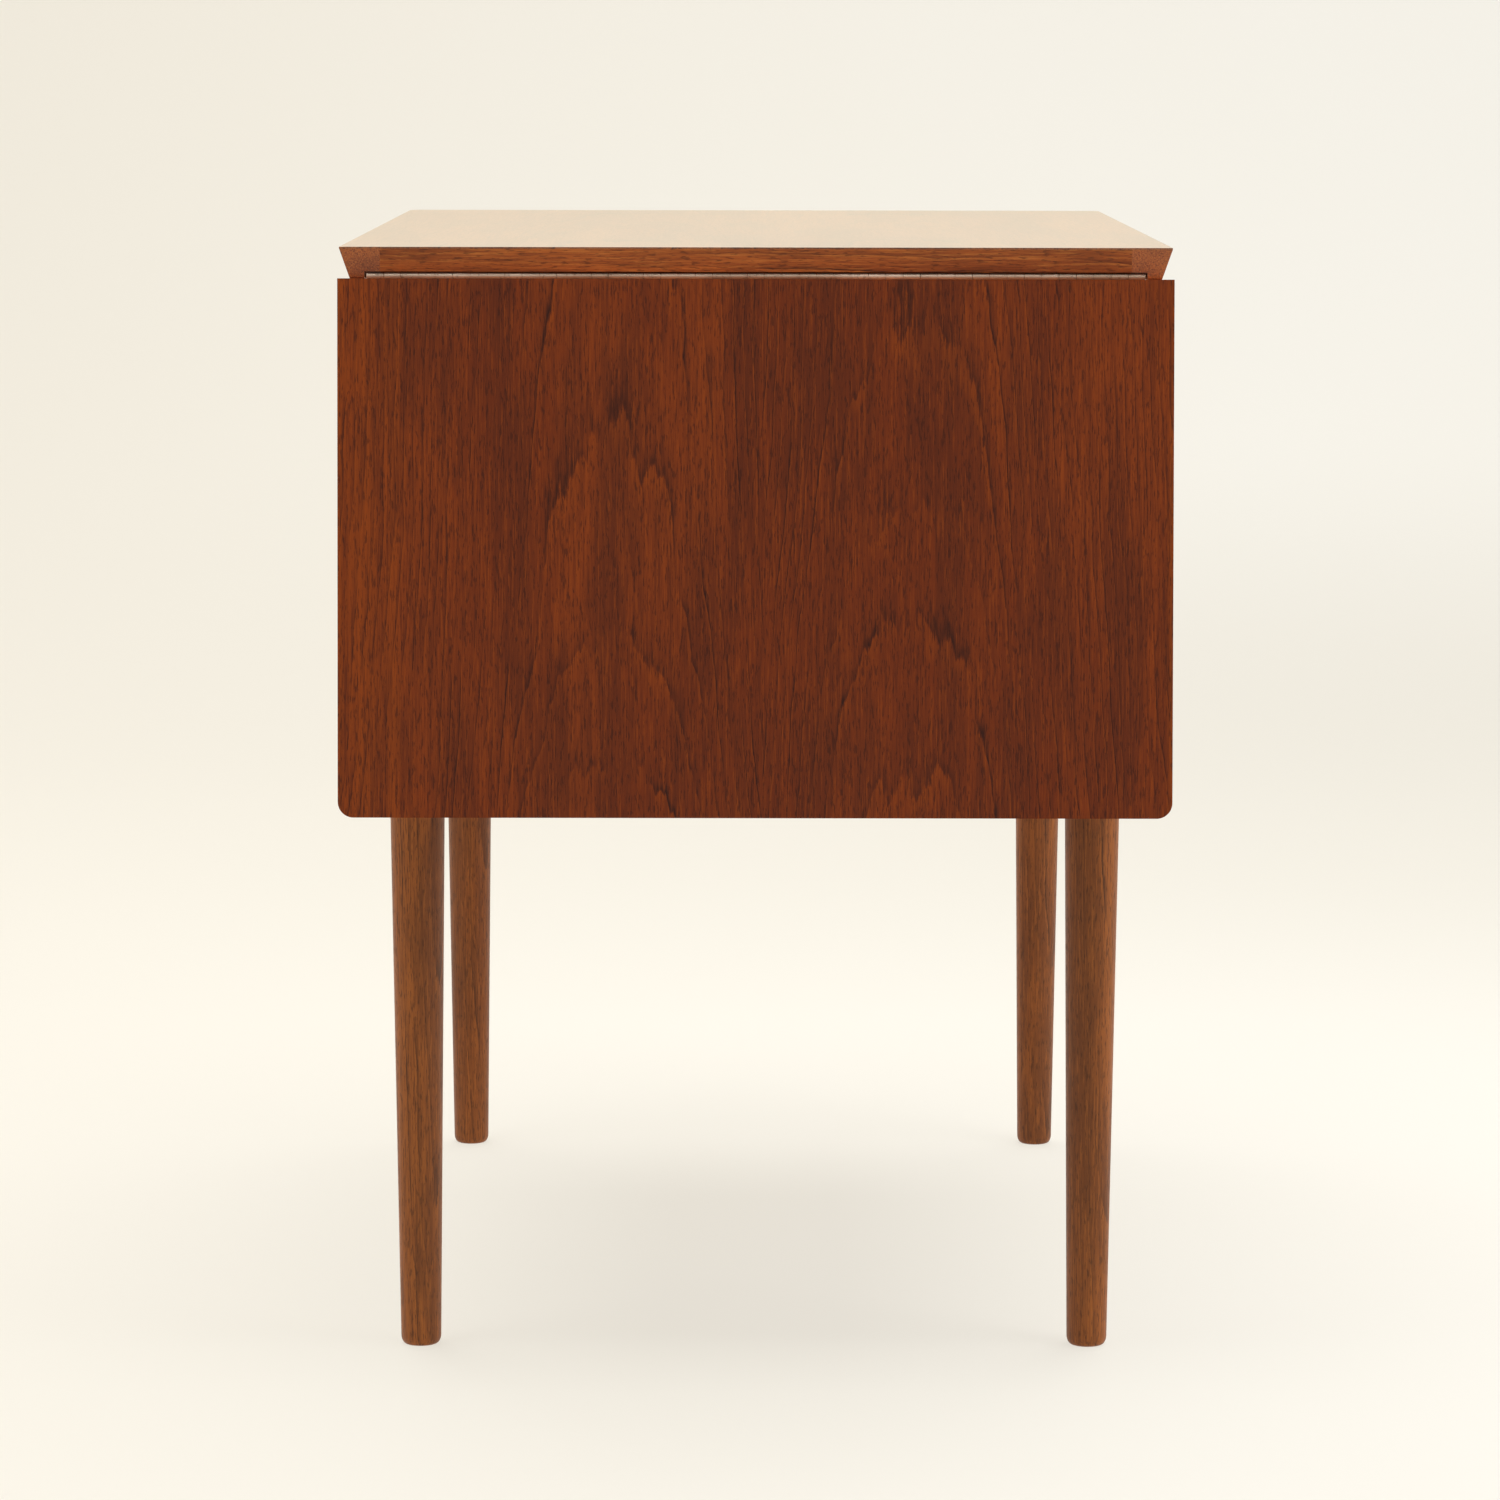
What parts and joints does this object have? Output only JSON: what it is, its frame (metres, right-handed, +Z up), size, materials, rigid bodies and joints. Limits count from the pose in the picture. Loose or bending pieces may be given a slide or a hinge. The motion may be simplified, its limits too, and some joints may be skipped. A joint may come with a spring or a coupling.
{
  "type": "sewing table",
  "caption": "Small teak sewing table on turned legs, with a drop leaf on a piano hinge at one end, a swinging prop under the leaf and drawers that slide out of one side.",
  "frame": {"origin": "on the floor, under the middle of the whole table as it stands with its leaf down", "axes": "+Z up, +X across the table towards the drawer fronts, -Y towards the hanging leaf"},
  "size_m": [0.45, 0.6444, 0.615],
  "materials": {
    "teak_veneer": "crown-cut teak veneer, thin satin lacquer, grain along the table's length",
    "teak_lipping": "solid teak, oiled, satin",
    "case_teak": "teak veneer, satin",
    "turned_teak": "turned solid teak, oiled, satin",
    "drawer_beech": "planed beech, thin clear lacquer",
    "hinge_steel": "bronzed steel, worn, satin",
    "brass_fixings": "brass, dull"
  },
  "bodies": {
    "table": {"top_veneer": "teak_veneer", "top_core": "teak_veneer", "top_edge_left": "teak_lipping", "top_edge_right": "teak_lipping", "top_edge_front": "teak_lipping", "top_edge_back": "teak_lipping", "hinge_plate_top": "hinge_steel", "hinge_pin": "hinge_steel", "hinge_screws_top": "hinge_steel", "case_end_near": "case_teak", "case_end_far": "case_teak", "case_back": "case_teak", "case_bottom": "case_teak", "case_rail_front": "case_teak", "case_rail_back": "drawer_beech", "case_dowels": "drawer_beech", "top_screws": "brass_fixings", "drawer_runners": "drawer_beech", "leg_near_left": "turned_teak", "leg_near_right": "turned_teak", "leg_far_left": "turned_teak", "leg_far_right": "turned_teak", "leg_bolts": "hinge_steel", "leg_inserts": "brass_fixings", "prop_bracket": "turned_teak", "prop_pin": "hinge_steel", "prop_bracket_screws": "hinge_steel"},
    "leaf": {"leaf_veneer": "teak_veneer", "leaf_core": "teak_veneer", "leaf_edge_left": "teak_lipping", "leaf_edge_right": "teak_lipping", "leaf_edge_end": "teak_lipping", "leaf_edge_hinge": "teak_lipping", "hinge_plate_leaf": "hinge_steel", "hinge_screws_leaf": "hinge_steel", "leaf_stop": "turned_teak"},
    "prop": {"support_prop": "turned_teak"},
    "drawer_top": {"drawer_top_front": "case_teak", "drawer_top_side_near": "drawer_beech", "drawer_top_side_far": "drawer_beech", "drawer_top_back": "drawer_beech", "drawer_top_bottom": "drawer_beech", "drawer_top_knobs": "turned_teak", "thread_dividers": "drawer_beech", "spool_board": "drawer_beech", "spool_pegs": "drawer_beech"},
    "drawer_middle": {"drawer_middle_front": "case_teak", "drawer_middle_side_near": "drawer_beech", "drawer_middle_side_far": "drawer_beech", "drawer_middle_back": "drawer_beech", "drawer_middle_bottom": "drawer_beech", "drawer_middle_knobs": "turned_teak"},
    "drawer_bottom": {"drawer_bottom_front": "case_teak", "drawer_bottom_side_near": "drawer_beech", "drawer_bottom_side_far": "drawer_beech", "drawer_bottom_back": "drawer_beech", "drawer_bottom_bottom": "drawer_beech", "drawer_bottom_knobs": "turned_teak"}
  },
  "joints": [
    {"name": "leaf_hinge", "type": "hinge", "parent": "table", "child": "leaf", "pos_m": [0, -0.27602, 0.59925], "axis": [-1, 0, 0], "range_deg": [0, 84]},
    {"name": "prop_hinge", "type": "hinge", "parent": "table", "child": "prop", "pos_m": [0, -0.27304, 0.4925], "axis": [-1, 0, 0], "range_deg": [0, 135]},
    {"name": "drawer_top_slide", "type": "slide", "parent": "table", "child": "drawer_top", "axis": [1, 0, 0], "range_m": [0, 0.26]},
    {"name": "drawer_middle_slide", "type": "slide", "parent": "table", "child": "drawer_middle", "axis": [1, 0, 0], "range_m": [0, 0.26]},
    {"name": "drawer_bottom_slide", "type": "slide", "parent": "table", "child": "drawer_bottom", "axis": [1, 0, 0], "range_m": [0, 0.26]}
  ],
  "couplings": [
    {"joint": "prop_hinge", "follows": "leaf_hinge", "ratio": 1.6071}
  ]
}
